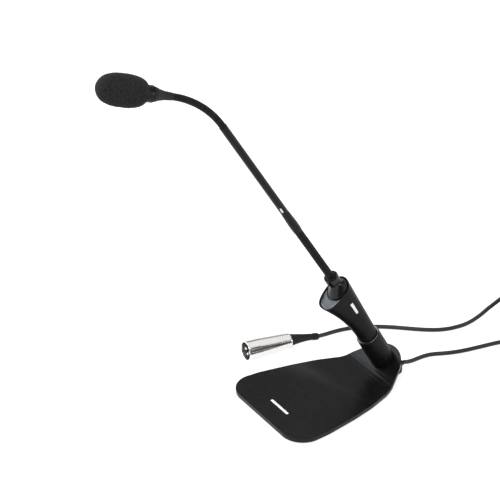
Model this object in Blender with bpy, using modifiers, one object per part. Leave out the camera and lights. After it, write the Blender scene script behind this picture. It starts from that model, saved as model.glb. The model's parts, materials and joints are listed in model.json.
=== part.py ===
"""Gooseneck desk microphone: a weighted plate with an upswept rear, a leaning preamp stem with a
flared head, a two-flex gooseneck, a foam windscreen and a cable with a three-pin audio plug.

Metres, +Z up. The origin is on the desk under the stem, at the rear foot pad's centre. +X is the
object's right seen from the talker's side, -Y points to the talker. Dimensions are in millimetres
and are turned to metres by MM.
"""
from math import asin, atan, cos, pi, radians, sin, sqrt, tan

import bmesh
import bpy
from mathutils import Matrix, Vector

MM = 0.001
GAP = 0.3                       # running gap between neighbouring solids

# base plate, seen from above
FRONT_Y = -137.9                # front edge
FRONT_HALF = 59.6               # half width where the sides would meet the front edge
SIDE_BENDS = [(56.4, -100.0), (50.3, -68.0), (44.5, -45.0)]    # points that the bowed sides round
CORNER_R = 22.0
WAIST = (33.0, -13.7)           # where each side turns in towards the nose
WAIST_R = 25.0
SIDE_R = 60.0
NOSE_APEX_Y = 37.8              # where the two rear sides would meet
NOSE_R = 29.4
EDGE_ROUND = 1.3

# cable housing under the ramp
BOX_HALF = 12.2
BOX_FRONT_Y = -10.0
BOX_REAR_Y = 16.8
BOX_FLOOR_Z = 1.3
BOX_TOP_Z = 10.6
BOX_WALL = 1.5
SCREW_Y = 4.0
GLAND_R = 2.25                  # the gland's neck, in the housing's rear wall

# base plate, seen from the side
PAD_T = 1.0
REAR_PAD_R = 6.2
PLATE_Z = PAD_T + GAP           # underside of the flat part
PLATE_T = 4.4
BEND_Y = -25.7                  # where the plate starts to sweep up
BEND_R = 22.0
RAMP = radians(29.4)

# preamp stem; heights are along the stem's own axis, measured from the desk
STEM_LEAN = radians(29.0)
STEM_FOOT_Y = 7.5               # where the axis meets the desk
STEM_R = 11.3
STEM_BORE = 9.9
STEM_TOP = 56.2
SPIGOT_TOP = 36.0
SPIGOT_R = 9.6
SPIGOT_BORE = 7.6
WIRE_HOLE_R = 4.5
RING_R = 10.8
RING_BORE = 9.8
RING_T = 0.7
SET_SCREW_H = 27.0

# flared preamp housing
HOUSING_BOTTOM = 50.0
HOUSING_R = 9.5
WALL = 1.2
FLARE_START = 60.0
LIP_H = 128.4                   # height of the opening's plane on the stem axis
LIP_TILT = atan(0.26)           # extra forward tilt of the opening
LIP_FRONT = 22.6                # reach of the lip in front of the axis
LIP_REAR = 11.2
LIP_HALF = 12.2
LIP_FULLNESS = 2.8              # superellipse power of the front of the lip
FRONT_POWER = 1.9

# cone and collar that hold the neck
CONE_R = 9.6
COLLAR_R = 6.7
COLLAR_TOP = 145.9
CUP_R = 5.7
CONE_BORE = 4.3
CONE_WAIST_R = 5.6              # the cone's narrowest part, under the collar

# mute button
BUTTON_DEPTH = 0.9              # top face below the lip's plane
BUTTON_T = 2.2
BUTTON_TRAVEL = 0.8

# gooseneck; lengths are along the neck from the collar's top
NECK_LEAN = radians(31.4)
LOWER_R = 3.65
LOWER_LENGTH = 69.6
LOWER_JOINTS = [6.0 + 11.5 * i for i in range(6)]
FERRULE_LENGTH = 26.0
FERRULE_R = 4.2
TUBE_R = 3.5
TUBE_TOP = 217.9
UPPER_R = 3.1
UPPER_LENGTH = 65.4
UPPER_JOINTS = [4.0 + 11.5 * i for i in range(6)]
JOINT_GAP = 0.5                 # gap on the axis between two flex links
LINK_CHAMFER = 0.25             # slope of a link's coned ends

# microphone head, along its own axis from the boot's tail
HEAD_LEAN = radians(67.9)
BOOT_LENGTH = 19.0
HOLDER_R = 7.3
HOLDER_LENGTH = 8.2
CAPSULE_R = 5.9
CAPSULE_END = 40.0
GRILLE_LENGTH = 4.0
FOAM_R = 14.2
FOAM_MOUTH_R = 8.1              # outer radius at its open end
FOAM_LENGTH = 45.6

# cable and plug
CABLE_R = 2.0
COIL_CENTRE = (0.0, 188.0)
COIL_MEAN_R = 23.5              # nearly twelve cable diameters across
COIL_ROWS = 4                   # turns side by side, and layers
PLUG_FRONT = (-87.6, -97.7)
PLUG_YAW = radians(-5.2)
PLUG_R = 9.5
PLUG_REAR_R = 7.4
PLUG_LENGTH = 47.0
PLUG_STRAIGHT = 14.0            # the shell keeps its full width this far back
PLUG_BORE = 8.6
PIN_R = 1.2
PIN_SPREAD = 3.8
BOOT_WIDE = 6.2                 # the plug's rubber boot, at the shell and at the cable
BOOT_NARROW = 3.4
CABLE_EXIT = (2.0, 20.6, 4.7)
BASE_ROUTE = [
    (2.0, 22.4, 4.6), (1.7, 26.2, 3.3), (1.2, 32.5, 2.2), (1.0, 38.7, 2.1), (1.1, 45.7, 2.1),
    (2.0, 52.0, 2.1), (4.0, 57.6, 2.1), (6.8, 63.4, 2.1), (10.4, 72.0, 2.1), (14.0, 84.0, 2.1),
    (17.0, 99.0, 2.1), (20.5, 118.0, 2.1), (25.0, 136.0, 2.1), (28.6, 152.0, 2.1), (29.5, 171.5, 2.3),
]
PLUG_ROUTE = [
    (-79.8, -20.4, 3.7), (-80.0, -11.2, 2.6), (-80.0, -2.2, 2.1), (-77.8, 10.6, 2.1), (-73.4, 22.6, 2.1),
    (-68.2, 32.6, 2.1), (-62.2, 42.0, 2.1), (-55.2, 51.0, 2.1), (-47.4, 59.9, 2.1), (-39.7, 68.6, 2.1),
    (-32.6, 77.7, 2.1), (-26.4, 88.5, 2.1), (-22.8, 101.0, 2.1), (-21.6, 115.0, 2.5), (-23.2, 130.0, 4.4),
    (-26.6, 146.0, 7.4), (-29.5, 171.5, 12.9),
]

# colours and finishes: base colour, roughness, metallic
FINISHES = {
    "plate_paint": ((0.013, 0.013, 0.014), 0.38, 0.0),
    "stem_paint": ((0.011, 0.011, 0.012), 0.45, 0.0),
    "housing_plastic": ((0.011, 0.011, 0.012), 0.5, 0.0),
    "button_plastic": ((0.10, 0.11, 0.12), 0.2, 0.0),
    "cone_plastic": ((0.012, 0.012, 0.013), 0.12, 0.0),
    "rubber": ((0.012, 0.012, 0.012), 0.75, 0.0),
    "neck_paint": ((0.012, 0.012, 0.013), 0.42, 0.0),
    "foam": ((0.014, 0.014, 0.015), 0.95, 0.0),
    "cable_pvc": ((0.013, 0.013, 0.014), 0.5, 0.0),
    "nickel": ((0.66, 0.64, 0.60), 0.24, 1.0),
    "insert_plastic": ((0.015, 0.013, 0.012), 0.5, 0.0),
    "steel": ((0.55, 0.55, 0.56), 0.35, 1.0),
    "pale_ring": ((0.42, 0.42, 0.44), 0.3, 0.8),
    "board": ((0.02, 0.09, 0.045), 0.45, 0.0),
    "mesh_metal": ((0.06, 0.06, 0.065), 0.4, 0.8),
}

for old in list(bpy.data.objects):
    bpy.data.objects.remove(old, do_unlink=True)

parts = bpy.data.collections.new("gooseneck_microphone")
tools = bpy.data.collections.new("cutters")
bpy.context.scene.collection.children.link(parts)
bpy.context.scene.collection.children.link(tools)


# ---------------------------------------------------------------- helpers

def finish(slot):
    """Return the Principled material of a finish, made once."""
    found = bpy.data.materials.get(slot)
    if found:
        return found
    colour, roughness, metallic = FINISHES[slot]
    made = bpy.data.materials.new(slot)
    made.use_nodes = True
    shader = made.node_tree.nodes["Principled BSDF"]
    shader.inputs["Base Color"].default_value = (*colour, 1.0)
    shader.inputs["Roughness"].default_value = roughness
    shader.inputs["Metallic"].default_value = metallic
    return made


def frame(name, location, rotation, parent=None):
    """An empty that carries the pieces of one axis."""
    empty = bpy.data.objects.new(name, None)
    empty.location = Vector(location) * MM
    empty.rotation_euler = rotation
    empty.parent = parent
    parts.objects.link(empty)
    return empty


def part(name, mesh, slot, parent=None, location=(0, 0, 0), rotation=(0, 0, 0)):
    """Link a mesh as a named sub-part with its own finish."""
    obj = bpy.data.objects.new(name, mesh)
    obj.parent = parent
    obj.location = Vector(location) * MM
    obj.rotation_euler = rotation
    mesh.materials.append(finish(slot))
    parts.objects.link(obj)
    return obj


def cutter(name, mesh, parent=None, location=(0, 0, 0), rotation=(0, 0, 0)):
    """Link a mesh as a cutting tool that isn't part of the object."""
    obj = bpy.data.objects.new(name, mesh)
    obj.parent = parent
    obj.location = Vector(location) * MM
    obj.rotation_euler = rotation
    obj.hide_render = True
    obj.display_type = "WIRE"
    tools.objects.link(obj)
    return obj


def cut(obj, tool, operation="DIFFERENCE"):
    """Boolean a tool out of an object."""
    modifier = obj.modifiers.new(tool.name, "BOOLEAN")
    modifier.operation = operation
    modifier.object = tool


def mesh_from(bm, name, smooth=30.0):
    """Turn a bmesh into a mesh whose faces point out, shaded smooth up to an angle."""
    bmesh.ops.recalc_face_normals(bm, faces=bm.faces)
    mesh = bpy.data.meshes.new(name)
    bm.to_mesh(mesh)
    bm.free()
    mesh.shade_smooth()
    mesh.set_sharp_from_angle(angle=radians(smooth))
    return mesh


def block(name, size):
    """A box mesh with its centre at the origin."""
    bm = bmesh.new()
    bmesh.ops.create_cube(bm, size=1.0)
    bmesh.ops.scale(bm, verts=bm.verts, vec=Vector(size) * MM)
    return mesh_from(bm, name)


def rod(name, radius, low, high, sides=24):
    """A cylinder mesh along Z between two heights."""
    bm = bmesh.new()
    place = Matrix.Translation((0, 0, (low + high) / 2 * MM))
    bmesh.ops.create_cone(bm, cap_ends=True, segments=sides, radius1=radius * MM, radius2=radius * MM,
                          depth=(high - low) * MM, matrix=place)
    return mesh_from(bm, name)


def turned(name, profile, slot, parent=None, location=(0, 0, 0), rotation=(0, 0, 0), steps=32,
           closed=False):
    """A turned sub-part: a profile of (radius, height) swept about Z by a Screw modifier.

    The profile runs down the outer side, top to bottom. A closed profile makes a hollow ring.
    """
    bm = bmesh.new()
    verts = [bm.verts.new((radius * MM, 0, height * MM)) for radius, height in profile]
    for first, second in zip(verts, verts[1:]):
        bm.edges.new((first, second))
    if closed:
        bm.edges.new((verts[-1], verts[0]))
    mesh = bpy.data.meshes.new(name)
    bm.to_mesh(mesh)
    bm.free()
    obj = part(name, mesh, slot, parent, location, rotation)
    screw = obj.modifiers.new("turn", "SCREW")
    screw.steps = steps
    screw.render_steps = steps
    screw.use_merge_vertices = True
    screw.merge_threshold = 0.00001
    screw.use_smooth_shade = True
    return obj


def rounded_outline(corners, steps=8):
    """Corner points (x, y, radius) of a closed outline, with each corner turned by an arc."""
    points = []
    count = len(corners)
    for i, (x, y, radius) in enumerate(corners):
        here = Vector((x, y))
        before = (Vector(corners[i - 1][:2]) - here).normalized()
        after = (Vector(corners[(i + 1) % count][:2]) - here).normalized()
        half = before.angle(after) / 2
        centre = here + (before + after).normalized() * radius / sin(half)
        start = here + before * radius / tan(half) - centre
        end = here + after * radius / tan(half) - centre
        turn = start.angle_signed(end)
        for k in range(steps + 1):
            arm = start.copy()
            arm.rotate(Matrix.Rotation(-turn * k / steps, 2))
            points.append(centre + arm)
    return points


def prism(bm, outline, low, high):
    """Extrude a flat outline between two heights, and return the top and bottom rim edges."""
    floor = [bm.verts.new((p[0] * MM, p[1] * MM, low * MM)) for p in outline]
    face = bm.faces.new(floor)
    grown = bmesh.ops.extrude_face_region(bm, geom=[face])["geom"]
    top = [v for v in grown if isinstance(v, bmesh.types.BMVert)]
    bmesh.ops.translate(bm, verts=top, vec=(0, 0, (high - low) * MM))
    bottom_rim = [e for e in bm.edges if all(abs(v.co.z - low * MM) < 1e-7 for v in e.verts)]
    top_rim = [e for e in bm.edges if all(abs(v.co.z - high * MM) < 1e-7 for v in e.verts)]
    return top_rim, bottom_rim


def smooth_route(points, spacing):
    """Points along a Catmull-Rom curve through a route's own points, evenly spaced."""
    ends = [tuple(2 * a - b for a, b in zip(points[0], points[1]))]
    ends += list(points)
    ends += [tuple(2 * a - b for a, b in zip(points[-1], points[-2]))]
    fine = []
    for p0, p1, p2, p3 in zip(ends, ends[1:], ends[2:], ends[3:]):
        for k in range(12):
            t = k / 12
            fine.append(Vector(
                0.5 * (2 * b + (c - a) * t + (2 * a - 5 * b + 4 * c - d) * t * t
                       + (3 * b - a - 3 * c + d) * t ** 3)
                for a, b, c, d in zip(p0, p1, p2, p3)))
    fine.append(Vector(points[-1]))
    total = sum((b - a).length for a, b in zip(fine, fine[1:]))
    count = max(2, round(total / spacing))
    even = [fine[0]]
    walked = 0.0
    for a, b in zip(fine, fine[1:]):
        step = (b - a).length
        while walked + step >= len(even) * total / count and len(even) < count:
            even.append(a.lerp(b, (len(even) * total / count - walked) / step))
        walked += step
    even.append(fine[-1])
    return even


def tube(name, points, radius, slot, resolution=2, radii=None):
    """A round cord or boot along a list of points, as a filled POLY curve."""
    curve = bpy.data.curves.new(name, "CURVE")
    curve.dimensions = "3D"
    curve.bevel_depth = radius * MM
    curve.bevel_resolution = resolution
    curve.use_fill_caps = True
    spline = curve.splines.new("POLY")
    spline.points.add(len(points) - 1)
    for i, p in enumerate(points):
        spline.points[i].co = (p[0] * MM, p[1] * MM, p[2] * MM, 1.0)
        if radii:
            spline.points[i].radius = radii[i] / radius
    curve.materials.append(finish(slot))
    obj = bpy.data.objects.new(name, curve)
    parts.objects.link(obj)
    return obj


# ---------------------------------------------------------------- frames

def on_stem(height, forward=0.0):
    """World point on the stem's axis at a height along it, moved forward square to it."""
    y = STEM_FOOT_Y - height * sin(STEM_LEAN) - forward * cos(STEM_LEAN)
    z = height * cos(STEM_LEAN) - forward * sin(STEM_LEAN)
    return (0.0, y, z)


def upper_point(length):
    """Point and lean of the upper flex at a length along its arc."""
    start = Vector(on_stem(COLLAR_TOP))
    start += Vector((0, -sin(NECK_LEAN), cos(NECK_LEAN))) * TUBE_TOP
    radius = UPPER_LENGTH / (HEAD_LEAN - NECK_LEAN)
    lean = NECK_LEAN + length / radius
    y = start.y - radius * (cos(NECK_LEAN) - cos(lean))
    z = start.z + radius * (sin(lean) - sin(NECK_LEAN))
    return (0.0, y, z), lean


stem_axis = frame("stem_axis", (0, STEM_FOOT_Y, 0), (STEM_LEAN, 0, 0))
lip_plane = frame("lip_plane", (0, 0, LIP_H), (LIP_TILT, 0, 0), stem_axis)
neck_axis = frame("neck_axis", on_stem(COLLAR_TOP), (NECK_LEAN, 0, 0))
boot_tail, _ = upper_point(UPPER_LENGTH)
head_axis = frame("head_axis", boot_tail, (HEAD_LEAN, 0, 0))
plug_sag = atan((PLUG_R - PLUG_REAR_R) / PLUG_LENGTH)
plug_height = PLUG_R * cos(plug_sag) + PLUG_STRAIGHT * sin(plug_sag)
plug_axis = frame("plug_axis", (*PLUG_FRONT, plug_height), (-pi / 2 - plug_sag, 0, PLUG_YAW))


# ---------------------------------------------------------------- base

def ramp_rise(y):
    """Height that the upswept rear adds at a distance y."""
    along = y - BEND_Y
    bend = BEND_R * sin(RAMP)
    if along <= 0:
        return 0.0
    if along < bend:
        return BEND_R - sqrt(BEND_R ** 2 - along ** 2)
    return BEND_R * (1 - cos(RAMP)) + (along - bend) * tan(RAMP)


def plate_outline():
    """Corners of the plate: bowed sides that narrow to a waist, and a blunt round nose."""
    side = [(FRONT_HALF, FRONT_Y, CORNER_R)]
    side += [(x, y, SIDE_R) for x, y in SIDE_BENDS]
    side += [(*WAIST, WAIST_R)]
    mirrored = [(-x, y, radius) for x, y, radius in reversed(side)]
    return side + [(0.0, NOSE_APEX_Y, NOSE_R)] + mirrored


def sweep_up(bm, spacing=4.0):
    """Cut a flat body into strips across the ramp and lift each point by the ramp's rise."""
    y = BEND_Y
    while y < NOSE_R:
        geometry = list(bm.verts) + list(bm.edges) + list(bm.faces)
        bmesh.ops.bisect_plane(bm, geom=geometry, plane_co=(0, y * MM, 0), plane_no=(0, 1, 0))
        y += spacing
    for v in bm.verts:
        v.co.z += ramp_rise(v.co.y / MM) * MM


def make_base():
    """The cast plate, its foot pads and the cable housing under the ramp."""
    bm = bmesh.new()
    top_rim, bottom_rim = prism(bm, rounded_outline(plate_outline()), PLATE_Z, PLATE_Z + PLATE_T)
    bmesh.ops.bevel(bm, geom=top_rim, offset=EDGE_ROUND * MM, segments=3, affect="EDGES", profile=0.5)
    bottom_rim = [e for e in bm.edges if all(abs(v.co.z - PLATE_Z * MM) < 1e-7 for v in e.verts)]
    bmesh.ops.bevel(bm, geom=bottom_rim, offset=0.5 * MM, segments=1, affect="EDGES")
    sweep_up(bm)
    plate = part("base_plate", mesh_from(bm, "base_plate"), "plate_paint")
    cut(plate, cutter("wire_hole", rod("wire_hole", WIRE_HOLE_R, 0, 40), stem_axis))

    bm = bmesh.new()
    (middle_x, middle_y), (rear_x, rear_y) = SIDE_BENDS[1:]
    pad_side = [(FRONT_HALF - 4.5, FRONT_Y + 4.0, CORNER_R - 4.0), (middle_x - 4.0, middle_y, 30.0)]
    pad_side += [(rear_x - 4.0, rear_y, 6.0)]
    corners = pad_side + [(-x, y, radius) for x, y, radius in reversed(pad_side)]
    prism(bm, rounded_outline(corners, 6), 0.0, PAD_T)
    part("front_foot_pad", mesh_from(bm, "front_foot_pad"), "rubber")
    part("rear_foot_pad", rod("rear_foot_pad", REAR_PAD_R, 0.0, PAD_T, 32), "rubber")
    return plate


def box_outline(inset):
    """Outline of the cable housing under the ramp, moved in by an inset."""
    half = BOX_HALF - inset
    side = [(half, BOX_FRONT_Y + inset, 5.0 - inset), (half, BOX_REAR_Y - inset, 8.6 - inset)]
    return rounded_outline(side + [(-x, y, radius) for x, y, radius in reversed(side)], 5)


def under_ramp(name, drop):
    """A wide body that fills the space above the ramp's underside lowered by a drop."""
    bm = bmesh.new()
    outline = [(-40.0, -60.0), (40.0, -60.0), (40.0, 40.0), (-40.0, 40.0)]
    prism(bm, outline, PLATE_Z - drop, PLATE_Z + 60.0)
    y = -56.0
    while y < 40.0:
        geometry = list(bm.verts) + list(bm.edges) + list(bm.faces)
        bmesh.ops.bisect_plane(bm, geom=geometry, plane_co=(0, y * MM, 0), plane_no=(0, 1, 0))
        y += 4.0
    for v in bm.verts:
        if v.co.z < (PLATE_Z + 30.0) * MM:
            v.co.z += ramp_rise(v.co.y / MM) * MM
    return cutter(name, mesh_from(bm, name))


def make_cable_housing():
    """The closed box under the ramp that takes the cable in, with its screws and gland."""
    bm = bmesh.new()
    prism(bm, box_outline(0.0), BOX_FLOOR_Z, BOX_TOP_Z)
    box = part("cable_housing", mesh_from(bm, "cable_housing"), "housing_plastic")
    cut(box, under_ramp("ramp_underside", GAP))
    bm = bmesh.new()
    prism(bm, box_outline(BOX_WALL), BOX_FLOOR_Z + BOX_WALL * 0.5, BOX_TOP_Z - BOX_WALL)
    inside = cutter("box_inside", mesh_from(bm, "box_inside"))
    cut(inside, under_ramp("ramp_lining", GAP + BOX_WALL))
    cut(box, inside)
    cut(box, cutter("box_wire_hole", rod("box_wire_hole", WIRE_HOLE_R, 8.0, 40.0), stem_axis))
    neck = rod("gland_hole", GLAND_R + GAP, 10.0, 26.0)
    cut(box, cutter("gland_hole", neck, None, (CABLE_EXIT[0], 0, CABLE_EXIT[2]), (-pi / 2, 0, 0)))
    for i, x in enumerate((-8.0, 8.0)):
        name = f"housing_screw_{i + 1}"
        place = (x, SCREW_Y, 0)
        cut(box, cutter(name + "_hole", rod(name + "_hole", 1.3, 0, 4.0, 16), None, place))
        profile = [(0, 5.0), (1.0, 5.0), (1.0, 0.95), (2.1, 0.95), (2.1, 0.35), (0, 0.35)]
        turned(name, profile, "steel", None, place, steps=16)


def make_gland():
    """The rubber sleeve where the cable leaves the housing, with a flange outside the wall."""
    rear = BOX_REAR_Y
    flange = GLAND_R + 0.4
    profile = [
        (0, rear + 3.3), (flange - 0.2, rear + 3.3), (flange, rear + 2.6), (flange, rear + GAP),
        (GLAND_R, rear + GAP), (GLAND_R, rear - BOX_WALL - 2.0), (0, rear - BOX_WALL - 2.0),
    ]
    turned("cable_gland", profile, "rubber", None, (CABLE_EXIT[0], 0, CABLE_EXIT[2]), (-pi / 2, 0, 0),
           steps=20)


# ---------------------------------------------------------------- stem and housing

def ramp_top_cutter(name):
    """A block whose top face is just above the ramp, for cutting the stem's foot to it."""
    height = PLATE_Z + PLATE_T + ramp_rise(0.0) + GAP
    mesh = block(name, (60, 90, 60))
    tool = cutter(name, mesh, None, (0, 30 * sin(RAMP), height - 30 * cos(RAMP)), (RAMP, 0, 0))
    return tool


def make_stem():
    """The outer stem, the spigot inside it, their screws and the pale ring on top."""
    foot = ramp_top_cutter("stem_foot")
    profile = [
        (STEM_BORE, STEM_TOP), (STEM_R - 0.5, STEM_TOP), (STEM_R, STEM_TOP - 0.5), (STEM_R, 4.0),
        (STEM_BORE, 4.0),
    ]
    stem = turned("stem", profile, "stem_paint", stem_axis, steps=48, closed=True)
    cut(stem, foot)
    profile = [(SPIGOT_BORE, SPIGOT_TOP), (SPIGOT_R, SPIGOT_TOP), (SPIGOT_R, 4.0), (SPIGOT_BORE, 4.0)]
    spigot = turned("stem_spigot", profile, "steel", stem_axis, steps=32, closed=True)
    cut(spigot, foot)
    profile = [
        (RING_BORE, STEM_TOP + GAP + RING_T), (RING_R, STEM_TOP + GAP + RING_T),
        (RING_R, STEM_TOP + GAP), (RING_BORE, STEM_TOP + GAP),
    ]
    turned("stem_ring", profile, "pale_ring", stem_axis, steps=48, closed=True)

    hole = rod("set_screw_hole", 1.5 + GAP, 0, 20)
    tool = cutter("set_screw_hole", hole, stem_axis, (0, 0, SET_SCREW_H), (0, pi / 2, 0))
    cut(stem, tool)
    cut(spigot, tool)
    profile = [(0, STEM_R - 0.8), (1.5, STEM_R - 0.8), (1.5, SPIGOT_BORE), (0, SPIGOT_BORE)]
    turned("stem_set_screw", profile, "steel", stem_axis, (0, 0, SET_SCREW_H), (0, pi / 2, 0), steps=16)

    for i, side in enumerate((-1, 1)):
        x = side * (SPIGOT_R + SPIGOT_BORE) / 2
        name = f"spigot_screw_{i + 1}"
        top = PLATE_Z + PLATE_T + ramp_rise(0.0)
        under = PLATE_Z + ramp_rise(0.0)
        place = (x, 0.0, under)
        rotation = (RAMP, 0, 0)
        length = (top - under) / cos(RAMP) * cos(RAMP) ** 2
        shaft = rod(name + "_hole", 0.75, -3.0, length + 4.0, 16)
        tool = cutter(name + "_hole", shaft, None, place, rotation)
        cut(bpy.data.objects["base_plate"], tool)
        cut(spigot, tool)
        profile = [
            (0, length + 3.6), (0.45, length + 3.6), (0.45, -GAP), (1.3, -GAP), (1.3, -GAP - 1.0),
            (0, -GAP - 1.0),
        ]
        turned(name, profile, "steel", None, place, rotation, steps=12)


def housing_reach(height):
    """Half width, front reach, rear reach and fullness of the housing at a height."""
    rise = max(0.0, height - FLARE_START) / (LIP_H - 0.3 * LIP_FRONT - FLARE_START)
    grow = max(0.0, height - FLARE_START) / (LIP_H - FLARE_START)
    half = HOUSING_R + (LIP_HALF - HOUSING_R) * grow ** 1.3
    front = HOUSING_R + (LIP_FRONT - HOUSING_R) * rise ** FRONT_POWER
    rear = HOUSING_R + (LIP_REAR - HOUSING_R) * grow
    full = 2.0 + (LIP_FULLNESS - 2.0) * min(1.0, rise)
    return half, front, rear, full


def housing_section(height, inset=0.0, count=40):
    """Points (x, y) round the housing at a height; the front is at -Y."""
    half, front, rear, full = housing_reach(height)
    half -= inset
    front -= inset
    rear -= inset
    points = []
    for i in range(count):
        angle = 2 * pi * i / count
        c = cos(angle)
        s = sin(angle)
        if s >= 0:
            points.append((half * c, rear * s))
        else:
            power = 2.0 / full
            x = half * abs(c) ** power * (1 if c >= 0 else -1)
            points.append((x, -front * abs(s) ** power))
    return points


def make_housing():
    """The flared shell, lofted through round to oval sections and cut at the tilted lip."""
    heights = [HOUSING_BOTTOM, FLARE_START]
    heights += [FLARE_START + 8.0 * i for i in range(1, 8)]
    heights += [121.0, 126.0, 131.0, 138.0]
    bm = bmesh.new()
    rings = []
    for height in heights:
        section = housing_section(height)
        rings.append([bm.verts.new((x * MM, y * MM, height * MM)) for x, y in section])
    for low, high in zip(rings, rings[1:]):
        count = len(low)
        for i in range(count):
            j = (i + 1) % count
            bm.faces.new((low[i], low[j], high[j], high[i]))
    geometry = list(bm.verts) + list(bm.edges) + list(bm.faces)
    normal = Vector((0, -sin(LIP_TILT), cos(LIP_TILT)))
    bmesh.ops.bisect_plane(bm, geom=geometry, plane_co=(0, 0, LIP_H * MM), plane_no=normal,
                           clear_outer=True)
    mesh = mesh_from(bm, "preamp_housing")
    shell = part("preamp_housing", mesh, "housing_plastic", stem_axis)
    solid = shell.modifiers.new("wall", "SOLIDIFY")
    solid.thickness = WALL * MM
    solid.offset = -1.0
    return shell


def make_cone():
    """The polished cone and collar on the opening: turned, then its foot leaned with the lip."""
    floor = LIP_H - 1.8
    profile = [
        (CUP_R, COLLAR_TOP), (COLLAR_R - 0.3, COLLAR_TOP), (COLLAR_R, COLLAR_TOP - 0.3),
        (COLLAR_R, COLLAR_TOP - 6.0), (CONE_WAIST_R + 0.2, COLLAR_TOP - 7.4), (CONE_WAIST_R, LIP_H + 8.6),
        (CONE_WAIST_R + 0.4, LIP_H + 6.6), (6.9, LIP_H + 4.6), (8.2, LIP_H + 2.4), (CONE_R, LIP_H + 0.5),
        (CONE_R, floor), (CONE_BORE, floor),
        (CONE_BORE, COLLAR_TOP - 6.5), (CUP_R, COLLAR_TOP - 6.2),
    ]
    bm = bmesh.new()
    verts = [bm.verts.new((radius * MM, 0, height * MM)) for radius, height in profile]
    edges = [bm.edges.new(pair) for pair in zip(verts, verts[1:] + verts[:1])]
    bmesh.ops.spin(bm, geom=verts + edges, cent=(0, 0, 0), axis=(0, 0, 1), angle=2 * pi, steps=40,
                   use_merge=True)
    bmesh.ops.remove_doubles(bm, verts=bm.verts, dist=0.00001)
    for v in bm.verts:
        fade = min(1.0, max(0.0, (COLLAR_TOP - 7.0 - v.co.z / MM) / (COLLAR_TOP - 7.0 - LIP_H)))
        v.co.z += v.co.y * tan(LIP_TILT) * fade
    part("neck_cone", mesh_from(bm, "neck_cone", 40.0), "cone_plastic", stem_axis)


def make_button():
    """The mute button: a crescent between the cone and the lip, and the switch under it."""
    clear = WALL + 0.5
    low = -BUTTON_DEPTH - BUTTON_T
    outline = []
    count = 28
    half = LIP_HALF - clear
    front = (LIP_FRONT + 0.6) / cos(LIP_TILT) - clear - 0.4
    for i in range(count + 1):
        angle = pi * i / count
        power = 2.0 / LIP_FULLNESS
        c = cos(angle)
        x = half * abs(c) ** power * (1 if c >= 0 else -1)
        outline.append((-x, -front * sin(angle) ** power))
    bm = bmesh.new()
    prism(bm, outline, low, -BUTTON_DEPTH)
    button = part("mute_button", mesh_from(bm, "mute_button"), "button_plastic", lip_plane)
    core = cutter("button_core", rod("button_core", CONE_R + 0.6, 110.0, 140.0, 48), stem_axis)
    cut(button, core)
    trim = cutter("button_trim", block("button_trim", (40, 20, 20)), lip_plane, (0, 10.0 - 6.5, 0))
    cut(button, trim)

    switch_top = low - BUTTON_TRAVEL - 0.15
    part("mute_switch", block("mute_switch", (6.0, 6.0, 2.0)), "insert_plastic", lip_plane,
         (0, -14.5, switch_top - 1.0))
    part("switch_board", block("switch_board", (13.0, 9.0, 1.0)), "board", lip_plane,
         (0, -13.5, switch_top - 2.0 - GAP - 0.5))
    board_length = 74.0
    part("preamp_board", block("preamp_board", (13.5, 1.2, board_length)), "board", stem_axis,
         (0, 0, 38.0 + board_length / 2))


# ---------------------------------------------------------------- gooseneck

def link_profile(radius, low, high, coned_top=True, coned_bottom=True):
    """Profile of one flex link: a rod whose ends are shallow cones, so that it can tip."""
    drop = radius * LINK_CHAMFER
    tip = 0.6
    points = []
    if coned_top:
        points += [(0, high), (tip, high), (radius, high - drop)]
    else:
        points += [(0, high), (radius, high)]
    if coned_bottom:
        points += [(radius, low + drop), (tip, low), (0, low)]
    else:
        points += [(radius, low), (0, low)]
    return points


def make_lower_neck():
    """The grommet, the fixed end of the lower flex, its links, the ferrule and the rigid tube."""
    profile = [
        (LOWER_R + GAP, 0.6), (4.7, 0.6), (5.1, 0.1), (5.1, -5.0), (LOWER_R + GAP, -5.0),
    ]
    turned("neck_grommet", profile, "rubber", neck_axis, steps=28, closed=True)
    half = JOINT_GAP / 2
    first = LOWER_JOINTS[0] - half
    turned("flex_root", link_profile(LOWER_R, -12.0, first, True, False), "neck_paint", neck_axis,
           steps=24)
    spacing = LOWER_JOINTS[1] - LOWER_JOINTS[0]
    for i in range(5):
        turned(f"lower_flex_{i + 1}", link_profile(LOWER_R, half, spacing - half), "neck_paint",
               neck_axis, (0, 0, LOWER_JOINTS[i]), steps=24)

    start = LOWER_JOINTS[5] + half
    end = LOWER_LENGTH + FERRULE_LENGTH
    profile = [
        (0, end), (TUBE_R + 0.1, end), (FERRULE_R, end - 15.0), (FERRULE_R, end - 22.0),
        (LOWER_R + 0.3, LOWER_LENGTH), (LOWER_R, LOWER_LENGTH),
        (LOWER_R, start + LOWER_R * LINK_CHAMFER), (0.6, start), (0, start),
    ]
    turned("flex_ferrule", profile, "neck_paint", neck_axis, steps=28)

    stub = TUBE_TOP + UPPER_JOINTS[0] - half
    profile = [
        (0, stub), (0.6, stub), (UPPER_R, stub - UPPER_R * LINK_CHAMFER), (UPPER_R, TUBE_TOP),
        (TUBE_R, TUBE_TOP - 0.5), (TUBE_R, end + GAP), (0, end + GAP),
    ]
    turned("rigid_tube", profile, "neck_paint", neck_axis, steps=28)


def make_upper_neck():
    """The links of the upper flex, laid along its arc."""
    half = JOINT_GAP / 2
    for i in range(5):
        here, lean = upper_point(UPPER_JOINTS[i])
        there, lean_next = upper_point(UPPER_JOINTS[i + 1])
        chord = (Vector(there) - Vector(here)).length
        turned(f"upper_flex_{i + 1}", link_profile(UPPER_R, half, chord - half), "neck_paint", None,
               here, ((lean + lean_next) / 2, 0, 0), steps=24)


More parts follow.
